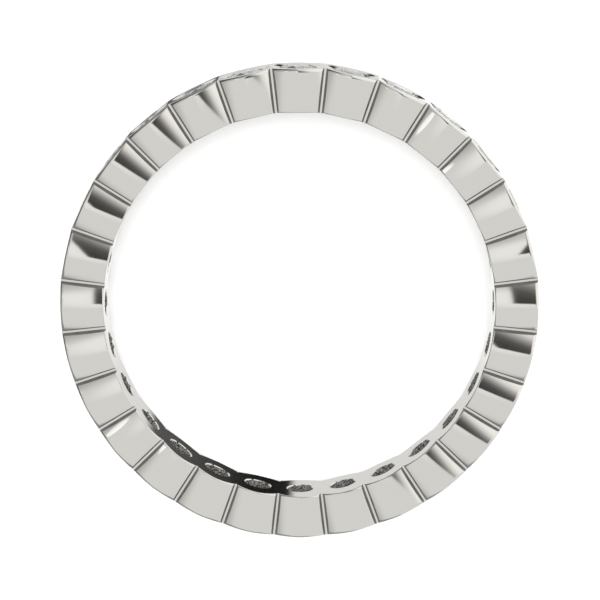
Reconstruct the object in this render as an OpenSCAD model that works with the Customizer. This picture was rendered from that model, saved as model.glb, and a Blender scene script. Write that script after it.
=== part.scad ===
// Full eternity wedding band: a closed circle of bezel collets, each with a round brilliant-cut stone.
// The ring lies on its side. Its axis is +Z, the surface that it lies on is z = 0, and lengths are in
// millimetres. A collet is made about its own axis: X points away from the finger, Y goes along the band
// and Z goes along the finger. The same frame serves its groove, the cut for its stone and the stone.

/* [Band] */
// Inside diameter of the ring, which is the finger size
bore_d = 17.3; // [16.8:0.1:18.6]
// Width along the finger, over the middle of a collet
band_w = 2.9; // [2.85:0.05:3.2]
// Metal from the bore to the top of a collet
band_t = 1.9; // [1.85:0.05:2.1]
// Bevel that eases the edge of the bore
bore_bevel = 0.05; // [0.03:0.01:0.07]

/* [Collets] */
// Collets round the ring
collet_count = 28; // [27:1:29]
// Radius of a collet's bulging side
bulge_r = 2.4; // [2.2:0.1:3]
// How far the two halves of a side are shifted across each other, which leaves a faint ridge between them
ridge_shift = 0.18; // [0.1:0.02:0.22]
// Height of the eased edge round a collet's top, towards the bore
ease_h = 0.15; // [0.1:0.01:0.18]
// Width of its steep lower step, along the finger
ease_w = 0.05; // [0.03:0.01:0.06]
// Slope of its upper step, in degrees
ease_slope = 35; // [30:1:40]

/* [Grooves] */
// Width of the groove between two collets, at its mouth
groove_w = 0.25; // [0.2:0.01:0.3]
// Width of the flat strip along its bottom
groove_floor_w = 0.09; // [0.08:0.01:0.12]
// Depth below the edges of the collets
groove_d = 0.19; // [0.16:0.01:0.22]

/* [Setting] */
// Diameter of the round hole that opens into the bore behind each stone
azure_d = 1.15; // [1.05:0.01:1.25]
// Width of the bevel round that hole
azure_bevel = 0.03; // [0.02:0.01:0.04]
// Diameter of the opening that the lip leaves over a stone
lip_d = 1.6; // [1.56:0.02:1.64]
// Depth of the dish that is cut into the top round a stone
dish_h = 0.06; // [0.05:0.01:0.08]
// Diameter of that dish
dish_d = 2.2; // [2.1:0.05:2.25]
// Gap between a stone and the metal all round it
seat_gap = 0.015; // [0.01:0.005:0.02]

/* [Stones] */
// Diameter over the girdle
stone_d = 1.75; // [1.7:0.01:1.76]
// Height of the table above the top of the collet
table_rise = 0.04; // [0.02:0.01:0.06]
// Diameter of the table as a share of the stone's
table_share = 0.57; // [0.54:0.01:0.6]
// Slope of the crown's main facets, in degrees
crown_angle = 34.5; // [33:0.5:36]
// Slope of the pavilion's main facets, in degrees
pavilion_angle = 40.8; // [40:0.2:42]
// Thickness of the girdle
girdle_h = 0.045; // [0.03:0.005:0.06]
// Reach of the star facets, as a share of the way from the table to the girdle
star_share = 0.5; // [0.45:0.01:0.55]
// Reach of the lower girdle facets, as a share of the way from the girdle to the culet
lower_share = 0.77; // [0.7:0.01:0.85]
// How far each stone is turned in its seat against the one before it, in degrees
stone_turn = 17; // [0:1:45]

/* [Hidden] */
// Length by which a cut runs past the metal
past = 0.5;
// Half of the space between two collets before the groove is cut
apart = 0.03;
// Height of the ring's core over the bottom of the groove, which the groove's cut takes away again
core_over = 0.05;
// Facets of the curves in a preview
$fn = 96;

// Band
bore_r = bore_d / 2;
top_r = bore_r + band_t;
half_w = band_w / 2;
pitch = 360 / collet_count;
core_r = bore_r - past;
rim_r = top_r + past;

// Collet sides: side_z is their height over the middle plane at a distance y from the ridge
bulge_z = half_w - sqrt(pow(bulge_r, 2) - pow(ridge_shift, 2));
function side_z(y) = bulge_z + sqrt(pow(bulge_r, 2) - pow(y + ridge_shift, 2));

// Grooves: the bottom runs straight from the bore to the top, at one depth below the collets' edges
function groove_z(r) = side_z(r * tan(pitch / 2) - groove_w / 2) - groove_d;
groove_tilt = atan2(groove_z(bore_r) - groove_z(top_r), band_t);
groove_cut_h = half_w;
groove_cut_w = groove_floor_w + (groove_w - groove_floor_w) * groove_cut_h / groove_d;

// Eased edge of a collet's top: two straight steps, the second of which runs on past the top
ease_mid = [bulge_r - ease_w, top_r - ease_h / 3];
ease_end = ease_mid + 2 * past * [-1, tan(ease_slope)];

// Stones: heights are distances from the ring's axis
facet = 360 / 16;
stone_r = stone_d / 2;
table_r = stone_r * table_share;
table_x = top_r + table_rise;
crown_x = table_x - (stone_r - table_r) * tan(crown_angle);
girdle_x = crown_x - girdle_h;
culet_x = girdle_x - stone_r * tan(pavilion_angle);
star_r = table_r * cos(facet) + star_share * (stone_r - table_r * cos(facet));
star_x = crown_x + (stone_r - star_r * cos(facet)) * tan(crown_angle);
lower_r = stone_r * (1 - lower_share);
lower_x = girdle_x - (stone_r - lower_r * cos(facet)) * tan(pavilion_angle);

// Settings: the seat and the lip follow the steepest edges of the stone
azure_r = azure_d / 2;
lip_r = lip_d / 2;
dish_r = dish_d / 2;
seat_r = stone_r + seat_gap;
seat_angle = atan2(girdle_x - lower_x, stone_r - lower_r);
seat_x = girdle_x - seat_gap / cos(seat_angle);
azure_end_x = seat_x - (seat_r - azure_r) * tan(seat_angle);
lip_angle = atan2(star_x - crown_x, stone_r - star_r);
lip_in_x = crown_x + seat_gap / cos(lip_angle);
lip_x = lip_in_x + (seat_r - lip_r) * tan(lip_angle);

function stone_name(i) = str("stone_", i < 10 ? "0" : "", i);

// Puts a collet's own frame at its place in the ring: the first collet comes right after the groove at +Y
module at_collet(i) {
    translate([0, 0, half_w])
        rotate([0, 0, 90 - pitch * (i - 0.5)])
            children();
}

// Turns a shape that stands on its own Z so that its top points away from the finger
module along_collet() {
    rotate([0, 90, 0])
        children();
}

// Round body whose wall is one half of a collet's bulging side, eased at the bore and at the top
module side_body() {
    along_collet()
        rotate_extrude()
            polygon([
                [0, core_r],
                [bulge_r - bore_bevel - past, core_r],
                [bulge_r, bore_r + bore_bevel],
                [bulge_r, top_r - ease_h],
                ease_mid,
                ease_end,
                [0, ease_end[1]]
            ]);
}

// One collet before its stone's cut: the ridges of its two sides run along X at y = 0
module collet_blank() {
    intersection() {
        sector();
        translate([0, -ridge_shift, bulge_z]) side_body();
        translate([0, ridge_shift, bulge_z]) side_body();
        translate([0, -ridge_shift, -bulge_z]) side_body();
        translate([0, ridge_shift, -bulge_z]) side_body();
    }
}

// The sector of the ring that one collet takes, just short of its neighbours
module sector() {
    linear_extrude(band_w + 2 * past, center = true)
        polygon([
            [core_r, apart - core_r * tan(pitch / 2)],
            [rim_r, apart - rim_r * tan(pitch / 2)],
            [rim_r, rim_r * tan(pitch / 2) - apart],
            [core_r, core_r * tan(pitch / 2) - apart]
        ]);
}

// Ring that joins the collets; its sides lie just over the bottoms of the grooves
module core() {
    in_z = groove_z(bore_r) + core_over;
    rim_z = groove_z(top_r) + core_over;
    translate([0, 0, half_w])
        rotate_extrude()
            polygon([[core_r, -in_z], [rim_r, -rim_z], [rim_r, rim_z], [core_r, in_z]]);
}

// Prism of the collets' flat tops, which has one face over each collet
module flat_tops() {
    corner_r = top_r / cos(pitch / 2);
    translate([0, 0, -past])
        linear_extrude(band_w + 2 * past)
            polygon([
                for (i = [1 : collet_count])
                    corner_r * [cos(90 - pitch * i), sin(90 - pitch * i)]
            ]);
}

module finger_bore() {
    translate([0, 0, -past])
        cylinder(r = bore_r, h = band_w + 2 * past);
}

// Cut for the groove between a collet and the next one, on the ring's upper side
module groove_cut() {
    rotate([0, 0, pitch / 2])
        translate([bore_r, 0, groove_z(bore_r)])
            rotate([0, groove_tilt, 0])
                translate([-past, 0, 0])
                    along_collet()
                        linear_extrude(band_t + 2 * past)
                            polygon([
                                [0, -groove_floor_w / 2],
                                [0, groove_floor_w / 2],
                                [-groove_cut_h, groove_cut_w / 2],
                                [-groove_cut_h, -groove_cut_w / 2]
                            ]);
}

// Cut for a stone: the hole from the bore, the seat, the recess for the girdle, the lip and the dish
module setting_cut() {
    along_collet()
        rotate_extrude()
            polygon([
                [0, core_r],
                [azure_r + azure_bevel + past, core_r],
                [azure_r, bore_r + azure_bevel],
                [azure_r, azure_end_x],
                [seat_r, seat_x],
                [seat_r, lip_in_x],
                [lip_r, lip_x],
                [lip_r, top_r - dish_h],
                [dish_r, top_r],
                [dish_r, rim_r],
                [0, rim_r]
            ]);
}

module band() {
    color("#d8d6d0")
        difference() {
            intersection() {
                flat_tops();
                union() {
                    core();
                    for (i = [1 : collet_count]) at_collet(i) collet_blank();
                }
            }
            finger_bore();
            for (i = [1 : collet_count]) {
                at_collet(i) groove_cut();
                at_collet(i) mirror([0, 0, 1]) groove_cut();
                at_collet(i) setting_cut();
            }
        }
}

// Points of a stone that stands on Z: rows of 8 or 16 points at one height, from the table to the culet
function ring_of(count, r, z, turn) = [
    for (k = [0 : count - 1])
        let (a = turn + k * 360 / count)
            [r * cos(a), r * sin(a), z]
];

stone_points = concat(
    ring_of(8, table_r, table_x, 0),
    ring_of(8, star_r, star_x, facet),
    ring_of(16, stone_r, crown_x, 0),
    ring_of(16, stone_r, girdle_x, 0),
    ring_of(8, lower_r, lower_x, facet),
    [[0, 0, culet_x]]
);

// Numbers of those points; k counts round the stone
function table_pt(k) = k % 8;
function star_pt(k) = 8 + k % 8;
function crown_pt(k) = 16 + k % 16;
function girdle_pt(k) = 32 + k % 16;
function lower_pt(k) = 48 + k % 8;
culet_pt = 56;

stone_faces = concat(
    [[for (k = [7 : -1 : 0]) table_pt(k)]],
    [for (k = [0 : 7]) [table_pt(k), table_pt(k + 1), star_pt(k)]],
    [for (k = [0 : 7]) [table_pt(k), star_pt(k), crown_pt(2 * k), star_pt(k + 7)]],
    [for (k = [0 : 7]) [crown_pt(2 * k), star_pt(k), crown_pt(2 * k + 1)]],
    [for (k = [0 : 7]) [crown_pt(2 * k + 1), star_pt(k), crown_pt(2 * k + 2)]],
    [for (k = [0 : 15]) [crown_pt(k), crown_pt(k + 1), girdle_pt(k + 1), girdle_pt(k)]],
    [for (k = [0 : 7]) [girdle_pt(2 * k), girdle_pt(2 * k + 1), lower_pt(k)]],
    [for (k = [0 : 7]) [girdle_pt(2 * k + 1), girdle_pt(2 * k + 2), lower_pt(k)]],
    [for (k = [0 : 7]) [culet_pt, lower_pt(k + 7), girdle_pt(2 * k), lower_pt(k)]]
);

// Round brilliant in the seat of one collet
module stone(i) {
    color("#eef2f6")
        at_collet(i)
            along_collet()
                rotate([0, 0, stone_turn * i])
                    polyhedron(points = stone_points, faces = stone_faces);
}

band();
for (i = [1 : collet_count]) stone(i);
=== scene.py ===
# %% [markdown]
# # A full eternity band in polished white gold
# The ring is a closed circle of 28 bezel collets, each with a round brilliant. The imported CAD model
# gives its place and size. Here the band gets a mesh with true rounded edges, and everything gets a
# finish. All sizes below are in millimetres, as a jeweller would give them, and become metres where
# the mesh is made.

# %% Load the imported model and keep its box
import math

import bpy
import numpy as np
from mathutils import Matrix, Vector


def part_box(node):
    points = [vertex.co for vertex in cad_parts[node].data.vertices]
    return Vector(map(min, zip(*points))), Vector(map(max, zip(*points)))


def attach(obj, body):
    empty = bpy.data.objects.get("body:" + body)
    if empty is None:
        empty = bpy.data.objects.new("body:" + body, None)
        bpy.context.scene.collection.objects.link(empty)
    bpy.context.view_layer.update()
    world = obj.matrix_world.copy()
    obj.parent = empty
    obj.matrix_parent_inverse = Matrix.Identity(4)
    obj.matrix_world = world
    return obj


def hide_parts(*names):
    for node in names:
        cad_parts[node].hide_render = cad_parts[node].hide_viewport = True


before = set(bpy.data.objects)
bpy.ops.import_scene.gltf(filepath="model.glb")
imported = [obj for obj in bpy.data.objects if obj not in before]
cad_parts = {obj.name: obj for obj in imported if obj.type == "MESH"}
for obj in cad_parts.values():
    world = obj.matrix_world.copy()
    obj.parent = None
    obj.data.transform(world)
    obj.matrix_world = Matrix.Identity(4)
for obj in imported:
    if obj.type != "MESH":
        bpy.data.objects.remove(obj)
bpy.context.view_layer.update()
MM = 0.001
stones = sorted(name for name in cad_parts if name.startswith("stone_"))
band_low, band_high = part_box("band")
print("stones:", len(stones))
print("band box, mm:", [round(v / MM, 3) for v in (*band_low, *band_high)])

# %% [markdown]
# ## Small helpers
# A finish is easier to read when its colours are those of a colour picker. They are sRGB values,
# while Blender mixes light in linear ones, so one function turns them. A second one adds a node
# with its settings, and links whatever is given as another node's output. A third one starts a
# material.

# %% Colours
def linear(hex_colour):
    """The linear red, green, blue and alpha of a colour such as #D8D6D0."""
    parts = [int(hex_colour[i:i + 2], 16) / 255 for i in (1, 3, 5)]
    rgb = [p / 12.92 if p <= 0.04045 else ((p + 0.055) / 1.055) ** 2.4 for p in parts]
    return (*rgb, 1.0)


print("middle grey #808080 in linear values:", [round(v, 3) for v in linear("#808080")])

# %% Nodes and materials
def add_node(tree, kind, inputs=None, **settings):
    """Adds one node. inputs maps a socket's name or number to a value, or to an output to link."""
    made = tree.nodes.new(kind)
    for name, value in settings.items():
        setattr(made, name, value)
    for socket, value in (inputs or {}).items():
        if isinstance(value, bpy.types.NodeSocket):
            tree.links.new(value, made.inputs[socket])
        else:
            made.inputs[socket].default_value = value
    return made


def empty_material(name):
    """A new material, its node tree, and the output that gives a point's place on the object."""
    made = bpy.data.materials.new(name)
    made.use_nodes = True
    made.node_tree.nodes.clear()
    return made, made.node_tree, add_node(made.node_tree, "ShaderNodeTexCoord").outputs["Object"]


print("helpers ready")

# %% [markdown]
# ## The camera
# The ring is seen from its front, a little from above, from about eleven centimetres away. The ring
# lies on its side here, so the camera stands over it: it looks down along the finger bore, tilted
# by as much as the photographer looked down on the standing ring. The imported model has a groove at
# +Y and the photograph a collet at the top, so the view and the light are turned by half a collet.

# %% From the photograph's frame to the model's
COLLETS = 28
HALF_PITCH = math.pi / COLLETS
PHOTO_TURN = -HALF_PITCH
to_row = Matrix.Rotation(PHOTO_TURN, 3, "Z")
print("the photograph's frame is turned by", round(math.degrees(PHOTO_TURN), 2), "degrees")

# %% Camera
# The field is this wide where the ring is, and the shifts put the ring where it is in the picture.
TILT, TURN, ROLL = math.radians(11.76), math.radians(0.77), math.radians(0.24)
DISTANCE, FIELD_WIDTH, SENSOR_WIDTH = 109.0, 26.79, 36
SHIFT_RIGHT, SHIFT_UP = -0.022, -0.075
turn = Matrix.Rotation(-TURN, 3, "Y")
tilt = Matrix.Rotation(TILT, 3, "X")
roll = Matrix.Rotation(ROLL, 3, "Z")
right, up, back = roll @ tilt @ turn @ to_row.transposed()
middle = Vector((0, 0, (band_low.z + band_high.z) / 2 / MM))
camera_place = middle + DISTANCE * back - SHIFT_RIGHT * right - SHIFT_UP * up
lens = bpy.data.cameras.new("camera")
lens.sensor_width = SENSOR_WIDTH
lens.lens = SENSOR_WIDTH * DISTANCE / FIELD_WIDTH
lens.clip_start = 0.001
camera = bpy.data.objects.new("camera", lens)
bpy.context.scene.collection.objects.link(camera)
camera_axes = Matrix((right, up, back)).transposed().to_4x4()
camera.matrix_world = Matrix.Translation(camera_place * MM) @ camera_axes
bpy.context.scene.camera = camera
bpy.context.scene.view_settings.view_transform = "Standard"
print("camera at, mm:", [round(v, 2) for v in camera_place], "lens, mm:", round(lens.lens, 1))

# %% [markdown]
# ## The light
# Polished metal has no colour of its own: it shows the room. So the light is a soft white dome with
# a few dim and bright places, and each of them is there for something that the metal shows. The
# dome could be a set of cards and soft boxes, but those would show in other views, and a graded
# world never does.

# %% An even dome
DOME_GREY = "#E6E6E5"
world = bpy.data.worlds.new("studio_dome")
bpy.context.scene.world = world
world.use_nodes = True
sky = world.node_tree
sky.nodes.clear()
direction = add_node(sky, "ShaderNodeTexCoord").outputs["Generated"]
print("dome luminance:", round(linear(DOME_GREY)[1], 3))

# %% [markdown]
# A place on the dome is given by its soft edges. Each edge has an axis, and the two lengths along
# that axis between which it fades in. The place is where all of its edges overlap. The axes are
# those of the photograph's frame: x to the right, y up, and z out of the picture.

# %% Soft edges and places
def soft_edge(axis, start, end, before=0, after=1):
    """Goes smoothly from before to after while a direction's length along an axis grows."""
    length = add_node(sky, "ShaderNodeVectorMath", {0: direction, 1: to_row @ Vector(axis)},
                      operation="DOT_PRODUCT").outputs["Value"]
    return add_node(sky, "ShaderNodeMapRange", {
        "Value": length, "From Min": start, "From Max": end, "To Min": before, "To Max": after,
    }, interpolation_type="SMOOTHSTEP").outputs["Result"]


def overlap(*edges):
    """The place where some soft edges overlap: all of them multiplied."""
    place = edges[0]
    for edge in edges[1:]:
        both = add_node(sky, "ShaderNodeMath", {0: place, 1: edge}, operation="MULTIPLY")
        place = both.outputs[0]
    return place


print("nodes in the dome so far:", len(sky.nodes))

# %% [markdown]
# The main place is a dim corner in front of the ring, up and to the right. It draws the dark wedges
# on the collets, with a hard edge at the ridge, and fades out across each of them.

# %% The dim corner in front
FADE_AXIS = (0.8, 0.5, 0.0)
# Each pair is a length along the axis and the light there.
FADE = [(0.10, 0.05), (0.20, 0.065), (0.32, 0.105), (0.39, 0.2), (0.47, 0.42), (0.56, 0.8),
        (0.66, 1.04)]
WARM_TINT = (1, 0.99, 0.97)
front_corner = overlap(
    soft_edge((1.0, 0.02, 0.0), 0.0, 0.03), soft_edge((0.19, 1.0, 0.0), 0.09, 0.13),
    soft_edge((0.0, 1.0, 0.0), 0.025, 0.075), soft_edge((0.0, 0.0, 1.0), 0.3, 0.5))
slope = add_node(sky, "ShaderNodeVectorMath", {0: direction, 1: to_row @ Vector(FADE_AXIS)},
                 operation="DOT_PRODUCT")
fade = add_node(sky, "ShaderNodeValToRGB", {"Fac": slope.outputs["Value"]})
while len(fade.color_ramp.elements) < len(FADE):
    fade.color_ramp.elements.new(0.5)
for element, (length, level) in zip(fade.color_ramp.elements, FADE):
    element.position = length
    element.color = (*(level * share for share in WARM_TINT), 1)
print("the corner goes from", FADE[0][1], "to", FADE[-1][1], "of full light")

# %% [markdown]
# The corner reaches round behind the ring. There it draws the dark stretch of the bore, which ends
# sharply at the lowest collet, and the dark specks at the ends of the upper tops.

# %% The dim corner behind
rear_corner = overlap(
    soft_edge((1.0, 0.0, 0.0), -0.005, 0.02), soft_edge((0.0, 1.0, 0.0), 0.0, 0.04),
    soft_edge((0.0, -1.0, 0.0), -0.4, -0.31), soft_edge((0.71, 0.71, 0.0), 0.12, 0.2),
    soft_edge((-0.85, -0.53, 0.0), -0.35, -0.32), soft_edge((0.0, 0.0, -1.0), 0.5, 0.8))
seen_in_bore = overlap(
    soft_edge((0.0, 0.0, -1.0), 0.944, 0.953), soft_edge((0.0, 0.0, 1.0), -0.978, -0.97))
seen_in_tops = soft_edge((-1.0, 0.0, 0.0), -0.19, -0.15)
seen = add_node(sky, "ShaderNodeMath", {0: seen_in_bore, 1: seen_in_tops}, operation="MAXIMUM")
rear_corner = overlap(rear_corner, seen.outputs[0])
rear_level = soft_edge((0.71, -0.71, 0.0), -0.15, 0.17, 0.012, 0.085)
print("nodes in the dome so far:", len(sky.nodes))

# %% [markdown]
# On the left a grey strip shades the collets' far halves, and a dim band low down draws the thin
# dark line along their rims. A dark place straight behind the ring darkens the tops on the left.

# %% Shade for the left side
STRIP_LEVEL, TOPS_LEVEL = 0.5, 0.12
left_strip = overlap(
    soft_edge((-0.039, 0.253, -0.967), -0.78, -0.42), soft_edge((0.039, -0.253, 0.967), -0.5, -0.2),
    soft_edge((-1.0, 0.0, 0.0), -0.12, 0.25))
left_rims = overlap(
    soft_edge((-0.978, -0.208, 0.0), -0.2, 0.0), soft_edge((0.0, 0.0, -1.0), -0.42, -0.3),
    soft_edge((0.0, 0.0, 1.0), -0.6, -0.4))
rims_level = soft_edge((0.0, -1.0, 0.0), 0.0, 0.6, 0.08, 0.3)
left_tops = soft_edge((-0.12, -0.02, -0.9925), 0.9925, 0.998)
print("levels of the strip and behind the tops:", STRIP_LEVEL, TOPS_LEVEL)

# %% [markdown]
# Some places are brighter than the dome: the one that the flat fronts show, the right side, the
# part below and behind that lights the sides of the lower collets, and the one that clears the tops
# on the right. A small lamp puts a bright spot beside some grooves.

# %% Brighter places
LAMP_GAIN = 1.75
front_glow = soft_edge((0.02, 0.3, 0.954), 0.91, 1.0, 1, 1.24)
right_glow = soft_edge((0.87, 0.5, 0.0), 0.6, 0.8, 1, 1.4)
rear_glow = soft_edge((0.0, -1.0, -1.0), 1.05, 1.18, 1, 1.25)
right_tops_glow = soft_edge((0.13, -0.03, -0.991), 0.9925, 0.998, 1, 1.5)
small_lamp = soft_edge((-0.556, 0.347, 0.756), 0.9955, 0.9975, 1, LAMP_GAIN)
print("the small lamp is", LAMP_GAIN, "times as bright as the dome")

# %% The dome put together
light = add_node(sky, "ShaderNodeVectorMath", {
    0: linear(DOME_GREY)[:3], "Scale": overlap(front_glow, right_glow, rear_glow, right_tops_glow),
}, operation="SCALE").outputs[0]
shades = [(front_corner, fade.outputs["Color"]), (rear_corner, rear_level),
          (left_strip, (STRIP_LEVEL,) * 3 + (1,)), (left_rims, rims_level),
          (left_tops, (TOPS_LEVEL,) * 3 + (1,))]
for place, shade in shades:
    mixed = add_node(sky, "ShaderNodeMix", {0: place, 6: light, 7: shade}, data_type="RGBA")
    light = mixed.outputs[2]
lit = add_node(sky, "ShaderNodeVectorMath", {0: light, "Scale": small_lamp}, operation="SCALE")
background = add_node(sky, "ShaderNodeBackground", {"Color": lit.outputs[0], "Strength": 1.0})
add_node(sky, "ShaderNodeOutputWorld", {"Surface": background.outputs[0]})
print("dim places:", len(shades), "nodes in the dome:", len(sky.nodes))

# %% [markdown]
# A wide soft lamp from above lifts the floor to white and gives the ring its soft shadow. The metal
# doesn't mirror it, as it doesn't mirror a lamp behind a large silk.

# %% Soft lamp
LAMP_POWER, LAMP_WIDTH, LAMP_FROM = 3.4, 70, (-0.05, 0.3, 1.0)
lamp = bpy.data.lights.new("soft_lamp", "SUN")
lamp.energy = LAMP_POWER
lamp.angle = math.radians(LAMP_WIDTH)
lamp_stand = bpy.data.objects.new("soft_lamp", lamp)
lamp_stand.rotation_euler = (to_row @ Vector(LAMP_FROM)).to_track_quat("Z", "Y").to_euler()
lamp_stand.visible_glossy = False
lamp_stand.visible_transmission = False
bpy.context.scene.collection.objects.link(lamp_stand)
print("lamp:", LAMP_POWER, "W/m2 over", LAMP_WIDTH, "degrees")

# %% [markdown]
# ## The floor
# A sheet of matt white card, wide enough to fill every view. The ring doesn't mirror it, so the
# tops and the bore show the dome behind the ring, as on the standing ring.

# %% Floor
FLOOR_HALF = 600
corner_signs = ((-1, -1), (1, -1), (1, 1), (-1, 1))
corners = [(x * FLOOR_HALF * MM, y * FLOOR_HALF * MM, 0.0) for x, y in corner_signs]
floor_mesh = bpy.data.meshes.new("floor")
floor_mesh.from_pydata(corners, [], [(0, 1, 2, 3)])
floor = bpy.data.objects.new("floor", floor_mesh)
bpy.context.scene.collection.objects.link(floor)
floor.visible_glossy = False
print("floor:", 2 * FLOOR_HALF, "mm wide")

# %% [markdown]
# Card is pressed paper without a gloss coat. Its fibres lie in clumps about 0.4 mm wide, which give
# it a fine, faint grain, and the eye sees an even, dry white.

# %% Matt white card
CARD_GRAIN = 0.4
card, tree, place = empty_material("white_card_matt")
grain = add_node(tree, "ShaderNodeTexNoise", {
    "Vector": place, "Scale": 1 / (CARD_GRAIN * MM), "Detail": 3.0})
relief = add_node(tree, "ShaderNodeBump", {
    "Height": grain.outputs["Fac"], "Strength": 0.05, "Distance": 0.02 * MM})
paper = add_node(tree, "ShaderNodeBsdfPrincipled", {
    "Base Color": linear("#F6F6F6"), "Roughness": 0.9, "Specular IOR Level": 0.2,
    "Normal": relief.outputs[0]})
add_node(tree, "ShaderNodeOutputMaterial", {"Surface": paper.outputs[0]})
floor_mesh.materials.append(card)
print("grain of the card, mm:", CARD_GRAIN)

# %% [markdown]
# ## The band: one quarter of a collet
# On the real ring a collet is a short barrel with a flat top: its sides bulge along the band, and a
# faint ridge runs up the middle of each. Polishing has rounded its edges, and that rounding catches
# the light, so it has to be in the mesh. A bevel modifier would round all edges alike and leave
# long thin faces. Instead each surface is laid out as a grid of points with the exact direction
# that it faces there, and a mirror finish then reflects without a wobble. A collet is the same on
# its four quarters, so one quarter is made and mirrored. In its frame x points away from the
# finger, y goes along the band and z along the finger.

# %% Sizes, and the curve of a side
# The bore and the flat tops are this far from the ring's axis, and the band is twice HALF_W wide.
BORE_R, TOP, HALF_W = 8.65, 10.55, 1.45
# A side is two arcs of one radius, shifted across each other, so that they meet in the ridge.
BULGE_R, RIDGE_SHIFT = 2.4, 0.18
# A side also curves very slightly from the bore to the top, and is highest at this distance.
SIDE_CURVE_R, SIDE_CURVE_X = 15.4, 9.91
BULGE_Z = HALF_W - math.sqrt(BULGE_R ** 2 - RIDGE_SHIFT ** 2)


def side_z(y, r=BULGE_R, x=SIDE_CURVE_X):
    """Height of a side over the middle of the band, at a distance y from its ridge."""
    bulge = math.sqrt(r ** 2 - (y + RIDGE_SHIFT) ** 2)
    return BULGE_Z + bulge - (x - SIDE_CURVE_X) ** 2 / (2 * SIDE_CURVE_R)


print("height of a side at its ridge and 1 mm from it:", round(side_z(0), 3), round(side_z(1), 3))

# %% [markdown]
# The groove between two collets is a shallow V with a narrow flat bottom, cut with a graver. Its
# walls come out through the bulging sides, and where they do has to be searched for.

# %% The groove
GROOVE_W, GROOVE_FLOOR_W, GROOVE_D = 0.25, 0.09, 0.19
WALL_LEAN = (GROOVE_W - GROOVE_FLOOR_W) / 2 / GROOVE_D
SEARCH_ROUNDS = 40


def groove_z(r):
    """Height of the groove's bottom, which runs straight from the bore to the top."""
    ends = [side_z(x * math.tan(HALF_PITCH) - GROOVE_W / 2, x=x) - GROOVE_D for x in (BORE_R, TOP)]
    return ends[0] + (r - BORE_R) / (TOP - BORE_R) * (ends[1] - ends[0])


def groove_point(x, over, out):
    """The wall's point at a height over the bottom, and a distance out from the groove's middle."""
    r = (x - out * math.sin(HALF_PITCH)) / math.cos(HALF_PITCH)
    return x * math.tan(HALF_PITCH) - out / math.cos(HALF_PITCH), groove_z(r) + over


def groove_mouth(x, r):
    """Where the wall comes out through a side of radius r: y, and the height over the bottom."""
    low, high = 0.0, 2 * GROOVE_D
    for _ in range(SEARCH_ROUNDS):
        over = (low + high) / 2
        y, z = groove_point(x, over, GROOVE_FLOOR_W / 2 + WALL_LEAN * over)
        low, high = (over, high) if z < side_z(y, r, x) else (low, over)
    return y, over


print("groove bottom, bore and top:", round(groove_z(BORE_R), 3), round(groove_z(TOP), 3))

# %% [markdown]
# A side is laid out in rows. The first ones bend round the eased edge of the bore, a few run
# straight up the side, and the last ones bend over the eased edge of the top. Each row starts at
# the ridge, and beyond the side it goes on down the groove's wall to the middle of its bottom.

# %% The rows of a side
TOP_EASE, TOP_EASE_WIDE, BORE_EASE = 0.15, 0.1, 0.05
BORE_BENDS, TOP_BENDS = (90, 60, 30, 0), (0, 18, 36, 54, 72, 90)
rows = ([("bore", math.radians(a)) for a in BORE_BENDS] + [("straight", t) for t in (1 / 3, 2 / 3)]
        + [("top", math.radians(a)) for a in TOP_BENDS])


def on_bore(y):
    """How far a point of the bore's wall is from the ring's axis along a collet's own axis."""
    return math.sqrt(BORE_R ** 2 - y ** 2)


def row_place(row, y):
    """Distance x from the ring's axis and radius of the side, for one row at a distance y."""
    kind, at = row
    if kind == "bore":
        ease = BORE_EASE + BORE_R - on_bore(y)
        return on_bore(y) + ease * (1 - math.sin(at)), BULGE_R - ease * (1 - math.cos(at))
    if kind == "straight":
        start, end = BORE_R + BORE_EASE, TOP - TOP_EASE
        return start + (end - start) * at, BULGE_R
    return TOP - TOP_EASE * (1 - math.sin(at)), BULGE_R - TOP_EASE_WIDE * (1 - math.cos(at))


def row_end(row):
    """The end of a row at the groove: x, y and the height over the groove's bottom."""
    y = BORE_R * math.tan(HALF_PITCH) - GROOVE_W / 2
    for _ in range(SEARCH_ROUNDS):
        x, r = row_place(row, y)
        y, over = groove_mouth(x, r)
    return x, y, over


print("rows on a side:", len(rows), "width of a top:", round(2 * row_end(rows[-1])[1], 3))

# %% The points across a side
SIDE_STEPS, CROWDING = 13, 0.9
# The columns crowd together towards the groove, where the side is steepest.
side_columns = [math.sin(math.pi / 2 * k / SIDE_STEPS) ** CROWDING for k in range(SIDE_STEPS + 1)]


def unit(v):
    """Vectors of the same direction and length 1."""
    v = np.asarray(v, float)
    return v / np.linalg.norm(v, axis=-1, keepdims=True)


def side_row(row, y_end):
    """The points of one row of a side, from the ridge to the groove, and the way they face."""
    kind, at = row
    points, facings = [], []
    for share in side_columns:
        y = share * y_end
        x, r = row_place(row, y)
        rise = math.sqrt(1 - ((y + RIDGE_SHIFT) / r) ** 2)
        outward = unit([(x - SIDE_CURVE_X) / SIDE_CURVE_R * rise, (y + RIDGE_SHIFT) / r, rise])
        if kind == "bore":
            outward = math.cos(at) * outward - math.sin(at) * unit([on_bore(y), y, 0])
        if kind == "top":
            upward = math.sin(at) / TOP_EASE * np.array([1, 0, 0])
            outward = math.cos(at) / TOP_EASE_WIDE * outward + upward
        points.append([x, y, side_z(y, r, x)])
        facings.append(unit(outward))
    return points, facings


print("points in a row:", len(side_columns))

# %% The points down a groove
WALL_STEPS = 2


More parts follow.
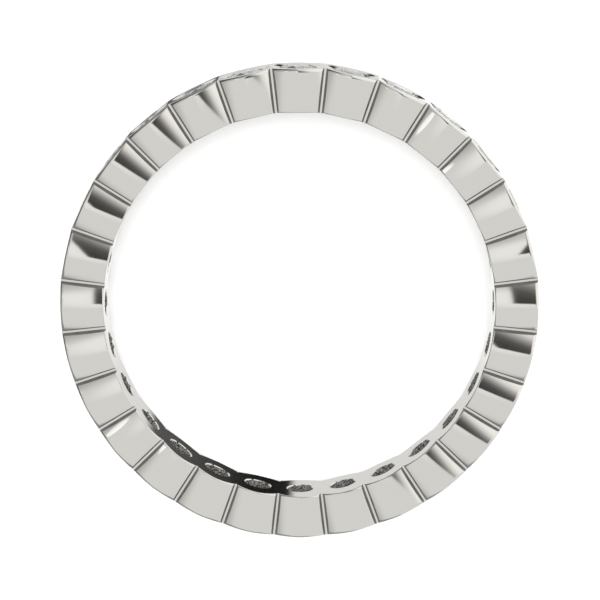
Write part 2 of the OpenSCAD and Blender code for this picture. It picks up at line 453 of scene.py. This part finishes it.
def groove_row(row, mouth_point, over_end):
    """The points down the wall of the groove from its mouth, and the middle of its bottom."""
    x_end, y_end, _ = mouth_point
    heights = [over_end * (1 - k / WALL_STEPS) for k in range(1, WALL_STEPS + 1)]
    stations = [(over, GROOVE_FLOOR_W / 2 + WALL_LEAN * over) for over in heights] + [(0, 0)]
    points = [mouth_point]
    for over, out in stations:
        x = x_end
        for _ in range(SEARCH_ROUNDS):
            y, z = groove_point(x, over, out)
            x = x_end + on_bore(y) - on_bore(y_end) if row[0] == "bore" else x_end
        points.append([x, y, z])
    return points


print("points down a groove:", WALL_STEPS + 2)

# %% The grids of the side, the groove's wall and its bottom
side, side_facing, wall, bottom = [], [], [], []
for row in rows:
    _, y_end, over_end = row_end(row)
    points, facings = side_row(row, y_end)
    strip = groove_row(row, points[-1], over_end)
    side.append(points)
    side_facing.append(facings)
    wall.append(strip[:-1])
    bottom.append(strip[-2:])
side, wall, bottom = (np.array(part) for part in (side, wall, bottom))
across = np.array([math.sin(HALF_PITCH), -math.cos(HALF_PITCH), 0])
outwards = np.array([math.cos(HALF_PITCH), math.sin(HALF_PITCH), 0])
upright = np.array([0, 0, 1])
fall = (groove_z(BORE_R) - groove_z(TOP)) / (TOP - BORE_R)
wall_facing = unit(np.cross(WALL_LEAN * across + upright, outwards - fall * upright))
wall_facing = wall_facing * -np.sign(wall_facing @ across)
bottom_facing = unit(upright + fall * outwards)
grids = [(side, np.array(side_facing)), (wall, np.broadcast_to(wall_facing, wall.shape)),
         (bottom, np.broadcast_to(bottom_facing, bottom.shape))]
WALL_GRID = 1
print("side grid:", side.shape[:2], "wall grid:", wall.shape[:2])

# %% [markdown]
# ## The top and the setting
# The top is a shallow dish that leads down to the lip over the stone. The lip is burnished over the
# stone, so its edge is rounded too, and shows as a bright thread. Under the lip are the recess for
# the girdle, the seat, and the round hole that lets light through from the finger side. The seat
# and the underside of the lip follow the steepest edges of the stone, with a small gap.

# %% Sizes of the setting
# Radii are measured from the stone's axis. The stone's shares and angles are a brilliant's usual
# ones, and its table stands a little over the flat top.
LIP_R, LIP_ROUND, DISH_R, DISH_H = 0.8, 0.02, 1.1, 0.06
AZURE_R, AZURE_BEVEL, SEAT_GAP = 0.575, 0.03, 0.015
STONE_R, TABLE_SHARE, TABLE_RISE, GIRDLE, LOWER_SHARE = 0.875, 0.57, 0.04, 0.045, 0.77
CROWN_ANGLE, PAVILION_ANGLE, FACET = math.radians(34.5), math.radians(40.8), math.pi / 8
TABLE_R = STONE_R * TABLE_SHARE
CROWN_FOOT = TOP + TABLE_RISE - (STONE_R - TABLE_R) * math.tan(CROWN_ANGLE)
STAR_R = (STONE_R + TABLE_R * math.cos(FACET)) / 2
LOWER_R = STONE_R * (1 - LOWER_SHARE)
print("girdle of the stone:", round(CROWN_FOOT - GIRDLE, 3), "to", round(CROWN_FOOT, 3))

# %% Heights of the lip and the seat
def steepest(inner_r, angle):
    """Slope of the stone's edges that end at a radius, between facets of a main angle."""
    return (STONE_R - inner_r * math.cos(FACET)) / (STONE_R - inner_r) * math.tan(angle)


def dish_x(r):
    """Height of the top at a distance r from the middle of the stone."""
    return TOP - DISH_H * max(0.0, (DISH_R - r) / (DISH_R - LIP_R))


crown_slope, pavilion_slope = steepest(STAR_R, CROWN_ANGLE), steepest(LOWER_R, PAVILION_ANGLE)
SEAT_R = STONE_R + SEAT_GAP
LIP_IN_X = CROWN_FOOT + SEAT_GAP * math.hypot(1, crown_slope)
LIP_X = LIP_IN_X + (SEAT_R - LIP_R) * crown_slope
SEAT_X = CROWN_FOOT - GIRDLE - SEAT_GAP * math.hypot(1, pavilion_slope)
AZURE_END_X = SEAT_X - (SEAT_R - AZURE_R) * pavilion_slope
print("edge of the lip:", round(LIP_X, 3), "top of the azure hole:", round(AZURE_END_X, 3))

# %% [markdown]
# The top and the bore each end at a loop of points round the quarter: along the side, down the
# groove's wall, and along the middle of the groove. Spokes run from the stone's axis to the points
# of the top's loop, and every ring of the setting has a point on each spoke.

# %% The loops round the quarter
MIDDLE_STEPS = 5
top_loop = [*side[-1], *wall[-1][1:], bottom[-1][-1]]
bore_loop = [*side[0], *wall[0][1:], bottom[0][-1]]
top_end_z, bore_end_z = top_loop[-1][2], bore_loop[-1][2]
for step in range(1, MIDDLE_STEPS + 1):
    down = 1 - step / MIDDLE_STEPS
    x = TOP
    for _ in range(SEARCH_ROUNDS):
        x = dish_x(math.hypot(x * math.tan(HALF_PITCH), top_end_z * down))
    top_loop.append([x, x * math.tan(HALF_PITCH), top_end_z * down])
    bore_loop.append(
        [BORE_R * math.cos(HALF_PITCH), BORE_R * math.sin(HALF_PITCH), bore_end_z * down])
top_loop, bore_loop = np.array(top_loop), np.array(bore_loop)
edge_r = np.hypot(top_loop[:, 1], top_loop[:, 2])
spoke = np.stack([0 * edge_r, top_loop[:, 1] / edge_r, top_loop[:, 2] / edge_r], axis=1)
print("spokes:", len(spoke))
print("edge of the top from the stone's axis:", edge_r.min().round(3), "to", edge_r.max().round(3))

# %% Rings on the spokes
x_axis = np.array([1.0, 0, 0])


def ring_points(r, x):
    """Points on every spoke at radius r and height x, which are numbers or one value per spoke."""
    r, x = np.broadcast_to(r, edge_r.shape), np.broadcast_to(x, edge_r.shape)
    return spoke * r[:, None] + x_axis * x[:, None]


def add_rings(points, facings):
    """Adds a grid from rings of points and the way that each ring faces."""
    facings = [np.broadcast_to(facing, points[0].shape) for facing in facings]
    grids.append((np.array(points), np.array(facings)))


print("grids before the setting:", len(grids))

# %% The dish, the rim round it and the lip's rounded edge
LEAST_RIM = 0.02
lip_top = LIP_R + LIP_ROUND
rim_r = np.minimum(DISH_R, edge_r - LEAST_RIM)
dish_facing = unit(x_axis * (DISH_R - LIP_R) - spoke * DISH_H)
rim_facing = np.where((rim_r < DISH_R)[:, None], dish_facing, x_axis)
dish_rings = []
for ring_r in (lip_top, (lip_top + rim_r) / 2, rim_r):
    heights = [dish_x(r) for r in np.broadcast_to(ring_r, edge_r.shape)]
    dish_rings.append(ring_points(ring_r, np.array(heights)))
add_rings(dish_rings, [dish_facing] * 3)
add_rings([dish_rings[-1], top_loop], [rim_facing] * 2)
lip_bends = [math.radians(a) for a in (0, 30, 60, 90)]
lip_rings = [
    ring_points(lip_top - LIP_ROUND * math.sin(a), dish_x(lip_top) - LIP_ROUND * (1 - math.cos(a)))
    for a in lip_bends]
add_rings(lip_rings, [unit(math.cos(a) * dish_facing - math.sin(a) * spoke) for a in lip_bends])
print("grids with the top:", len(grids))

# %% The recess, the seat and the azure hole
profile = [
    (LIP_R, dish_x(lip_top) - LIP_ROUND), (LIP_R, LIP_X), (SEAT_R, LIP_IN_X), (SEAT_R, SEAT_X),
    (AZURE_R, AZURE_END_X), (AZURE_R, BORE_R + AZURE_BEVEL)]
for (r_a, x_a), (r_b, x_b) in zip(profile, profile[1:]):
    inward = unit([x_b - x_a, r_a - r_b])
    facing = spoke * inward[0] + x_axis * inward[1]
    add_rings([ring_points(r_a, x_a), ring_points(r_b, x_b)], [facing] * 2)
SEAT_GRID, AZURE_GRID = len(grids) - 2, len(grids) - 1
print("grids with the setting:", len(grids))

# %% The bevelled mouth of the hole, and the bore's wall
hole_r = np.full(edge_r.shape, AZURE_R)
for _ in range(SEARCH_ROUNDS):
    hole_r = AZURE_R + BORE_R + AZURE_BEVEL - np.sqrt(BORE_R ** 2 - (hole_r * spoke[:, 1]) ** 2)
hole_edge = ring_points(hole_r, np.sqrt(BORE_R ** 2 - (hole_r * spoke[:, 1]) ** 2))
add_rings([ring_points(AZURE_R, BORE_R + AZURE_BEVEL), hole_edge], [unit(-spoke - x_axis)] * 2)
bore_rings = [hole_edge + (bore_loop - hole_edge) * share for share in (0, 1 / 3, 2 / 3, 1)]
for ring in bore_rings:
    ring[:, 0] = np.sqrt(BORE_R ** 2 - ring[:, 1] ** 2)
add_rings(bore_rings, [unit(ring * [-1, -1, 0]) for ring in bore_rings])
print("faces in a quarter:", sum((grid.shape[0] - 1) * (grid.shape[1] - 1) for grid, _ in grids))

# %% [markdown]
# ## The band: mirrored, repeated and joined
# Each grid becomes faces. A face is turned so that it looks the way its points say it faces, which
# also rights the mirrored ones. Twenty-eight turned copies follow, and points that fall on each
# other are joined, so the band is one closed skin. The facing directions are then given to Blender
# as custom normals.

# %% Faces of a collet
POLISHED, GRAVER_CUT, BUR_CUT = 0, 1, 2
FINISH_OF_GRID = {WALL_GRID: GRAVER_CUT, SEAT_GRID: BUR_CUT, AZURE_GRID: BUR_CUT}
QUARTERS = [np.array(flip) for flip in ((1, 1, 1), (1, -1, 1), (1, 1, -1), (1, -1, -1))]


def four_corners(grid):
    """The corners of every cell of a grid, in order round the cell."""
    cells = [grid[:-1, :-1], grid[:-1, 1:], grid[1:, 1:], grid[1:, :-1]]
    return np.stack(cells, axis=2).reshape(-1, 4, 3)


collet_points, collet_facings, finishes = [], [], []
for number, (grid, facing) in enumerate(grids):
    for flip in QUARTERS:
        points, facings = four_corners(grid * flip), four_corners(facing * flip)
        turned = np.cross(points[:, 2] - points[:, 0], points[:, 3] - points[:, 1])
        wrong = (turned * facings.sum(axis=1)).sum(axis=1) < 0
        points[wrong], facings[wrong] = points[wrong][:, ::-1], facings[wrong][:, ::-1]
        collet_points.append(points)
        collet_facings.append(facings)
        finishes += [FINISH_OF_GRID.get(number, POLISHED)] * len(points)
print("faces in a collet:", len(finishes))

# %% The whole band
def turned_copies(vectors):
    """All collets' copies of some vectors of the first one, whose x points away from the finger."""
    copies = []
    for k in range(COLLETS):
        a = math.pi / 2 + PHOTO_TURN - 2 * HALF_PITCH * k
        to_collet = np.array(
            [[math.cos(a), -math.sin(a), 0], [math.sin(a), math.cos(a), 0], [0, 0, 1]])
        copies.append(vectors @ to_collet.T)
    return np.concatenate(copies)


# Points count as one where they agree on a grid as fine as this.
JOIN = 2e-5
all_points = turned_copies(np.concatenate(collet_points)).reshape(-1, 3) + [0, 0, HALF_W]
all_facings = turned_copies(np.concatenate(collet_facings)).reshape(-1, 3)
_, first, number = np.unique(
    np.round(all_points / JOIN).astype(np.int64), axis=0, return_index=True, return_inverse=True)
faces = number.reshape(-1, 4)
edges = np.sort(np.stack([faces, np.roll(faces, -1, axis=1)], axis=2).reshape(-1, 2), axis=1)
_, uses = np.unique(edges, axis=0, return_counts=True)
print("band:", len(first), "points,", len(faces), "faces")
print("edges not shared by two faces:", int((uses != 2).sum()))

# %% The band as an object
band_mesh = bpy.data.meshes.new("band_polished")
band_mesh.from_pydata((all_points[first] * MM).tolist(), [], faces.tolist())
band_mesh.polygons.foreach_set("use_smooth", [True] * len(faces))
band_mesh.polygons.foreach_set("material_index", finishes * COLLETS)
band_mesh.normals_split_custom_set(unit(all_facings).tolist())
band_mesh.update()
band = bpy.data.objects.new("band_polished", band_mesh)
bpy.context.scene.collection.objects.link(band)
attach(band, "root")
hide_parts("band")
print("band size, mm:", [round(v / MM, 3) for v in band.dimensions])

# %% [markdown]
# ## White gold, rhodium plated and mirror polished
# White gold is gold with palladium or nickel, and nearly always wears a thin rhodium plate, which
# is a little darker and cooler than silver. It was polished on felt and cotton mops, so it mirrors
# the room. The eye sees clean light and dark shapes with a slight softness. The mop's hairlines are
# about 0.005 mm wide, which is too fine to show, so they are drawn twelve times as wide. The waves,
# each about a millimetre long, are the faint unevenness that hand polishing leaves.

# %% White gold
HAIRLINE, WAVE = 0.06, 0.9
gold, tree, place = empty_material("white_gold_rhodium_mirror_polish")
hairs = add_node(tree, "ShaderNodeTexNoise", {
    "Vector": place, "Scale": 1 / (HAIRLINE * MM), "Detail": 4.0})
waves = add_node(tree, "ShaderNodeTexNoise", {
    "Vector": place, "Scale": 1 / (WAVE * MM), "Detail": 2.0})
softness = add_node(tree, "ShaderNodeMapRange", {
    "Value": hairs.outputs["Fac"], "To Min": 0.04, "To Max": 0.1})
relief = add_node(tree, "ShaderNodeBump", {
    "Height": waves.outputs["Fac"], "Strength": 0.15, "Distance": 0.004 * MM})
relief = add_node(tree, "ShaderNodeBump", {
    "Height": hairs.outputs["Fac"], "Strength": 0.1, "Distance": 0.0003 * MM,
    "Normal": relief.outputs[0]})
metal = add_node(tree, "ShaderNodeBsdfPrincipled", {
    "Base Color": linear("#E7E5E0"), "Metallic": 1.0, "Roughness": softness.outputs[0],
    "Normal": relief.outputs[0]})
add_node(tree, "ShaderNodeOutputMaterial", {"Surface": metal.outputs[0]})
band_mesh.materials.append(gold)
print("polished faces:", finishes.count(POLISHED) * COLLETS)

# %% [markdown]
# The mops can't reach down into the grooves, so their walls keep the fine scratches of the graver,
# and they are left half metallic and rough. Their dark grey colour is painted shade, which draws the
# two dark lines, one on each side of a groove's bright bottom. The graver's scratches are about
# 0.01 mm wide and are drawn three times as wide, so that they show. The painted shade varies from
# spot to spot, over about a third of a millimetre.

# %% Groove walls
SCRATCH, SHADE_PATCH = 0.03, 0.35
groove_gold, tree, place = empty_material("white_gold_graver_cut_painted_shade")
scratches = add_node(tree, "ShaderNodeTexNoise", {
    "Vector": place, "Scale": 1 / (SCRATCH * MM), "Detail": 4.0})
shade_patches = add_node(tree, "ShaderNodeTexNoise", {
    "Vector": place, "Scale": 1 / (SHADE_PATCH * MM), "Detail": 2.0})
# Painted shade: the walls' colour is darkened to stand in for the shade down in the grooves.
painted_groove_shade = add_node(tree, "ShaderNodeMix", {
    0: shade_patches.outputs["Fac"], 6: linear("#6E6D6B"), 7: linear("#989694")}, data_type="RGBA")
relief = add_node(tree, "ShaderNodeBump", {
    "Height": scratches.outputs["Fac"], "Strength": 0.3, "Distance": 0.001 * MM})
cut_metal = add_node(tree, "ShaderNodeBsdfPrincipled", {
    "Base Color": painted_groove_shade.outputs[2], "Metallic": 0.5, "Roughness": 0.45,
    "Normal": relief.outputs[0]})
add_node(tree, "ShaderNodeOutputMaterial", {"Surface": cut_metal.outputs[0]})
band_mesh.materials.append(groove_gold)
print("faces on groove walls:", finishes.count(GRAVER_CUT) * COLLETS)

# %% [markdown]
# The azure holes are drilled and opened with a bur. No mop reaches into them either, so they stay
# satin. Their colour is painted with fine light and dark marks, painted glints and painted shade that
# read as a grainy grey, over the real relief of the bur's marks. The marks are about 0.02 mm wide
# and are drawn more than three times as wide, so that they show.

# %% Azure holes and seats
BUR_MARK = 0.07
azure_gold, tree, place = empty_material("white_gold_bur_cut_satin")
marks = add_node(tree, "ShaderNodeTexNoise", {
    "Vector": place, "Scale": 1 / (BUR_MARK * MM), "Detail": 3.0})
contrast = add_node(tree, "ShaderNodeMapRange", {
    "Value": marks.outputs["Fac"], "From Min": 0.4, "From Max": 0.6})
# Painted glints and shade: the colour jumps between dark and light grey with the bur's marks.
painted_glint_grain = add_node(tree, "ShaderNodeMix", {
    0: contrast.outputs[0], 6: linear("#545352"), 7: linear("#DAD9D6")}, data_type="RGBA")
relief = add_node(tree, "ShaderNodeBump", {
    "Height": marks.outputs["Fac"], "Strength": 0.4, "Distance": 0.002 * MM})
bur_metal = add_node(tree, "ShaderNodeBsdfPrincipled", {
    "Base Color": painted_glint_grain.outputs[2], "Metallic": 0.65, "Roughness": 0.3,
    "Normal": relief.outputs[0]})
add_node(tree, "ShaderNodeOutputMaterial", {"Surface": bur_metal.outputs[0]})
band_mesh.materials.append(azure_gold)
print("faces in azure holes and seats:", finishes.count(BUR_CUT) * COLLETS)

# %% [markdown]
# ## The stones
# The CAD stones already have every facet of a round brilliant, so they stay, and only get their
# finish: diamond, which is clear and bends light more than most gems do, blue more than red. So a
# fifth of the glass is made three times, once for each colour with its own bending, and the facets
# get their fire. A quarter of the finish is a plain mirror, for the white flashes off the facets,
# and a little is matt white, for the sparkle of lamps that are too small to be in the dome. A real
# stone is polished far finer than any pattern here, so its polish varies only by a trace, in clouds
# about 0.3 mm wide.

# %% Clear glass and fire
CLOUD, DIAMOND_IOR = 0.3, 2.417
FIRE = [("#FF0000", 2.407), ("#00FF00", DIAMOND_IOR), ("#0000FF", 2.44)]
diamond, tree, place = empty_material("diamond_clear_brilliant_cut")
clouds = add_node(tree, "ShaderNodeTexNoise", {
    "Vector": place, "Scale": 1 / (CLOUD * MM), "Detail": 3.0})
polish = add_node(tree, "ShaderNodeMapRange", {
    "Value": clouds.outputs["Fac"], "To Min": 0.0, "To Max": 0.01}).outputs[0]
clear, *coloured = [
    add_node(tree, "ShaderNodeBsdfGlass", {
        "Color": linear(colour), "Roughness": polish, "IOR": bending}).outputs[0]
    for colour, bending in [("#FFFFFF", DIAMOND_IOR), *FIRE]]
fire = coloured[0]
for glass in coloured[1:]:
    fire = add_node(tree, "ShaderNodeAddShader", {0: fire, 1: glass}).outputs[0]
print("kinds of glass:", 1 + len(coloured))

# %% Diamond
FIRE_SHARE, FLASH_SHARE, SPARKLE_SHARE = 0.2, 0.25, 0.07
flash = add_node(tree, "ShaderNodeBsdfGlossy", {"Color": linear("#FFFFFF"), "Roughness": polish})
sparkle = add_node(tree, "ShaderNodeBsdfDiffuse", {"Color": linear("#F4F6FA")})
gem = clear
for share, part in ((FIRE_SHARE, fire), (FLASH_SHARE, flash.outputs[0]),
                    (SPARKLE_SHARE, sparkle.outputs[0])):
    gem = add_node(tree, "ShaderNodeMixShader", {0: share, 1: gem, 2: part}).outputs[0]
add_node(tree, "ShaderNodeOutputMaterial", {"Surface": gem})
for name in stones:
    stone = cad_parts[name]
    if not stone.material_slots:
        stone.data.materials.append(diamond)
    for material_slot in stone.material_slots:
        material_slot.material = diamond
print("stones finished:", len(stones))
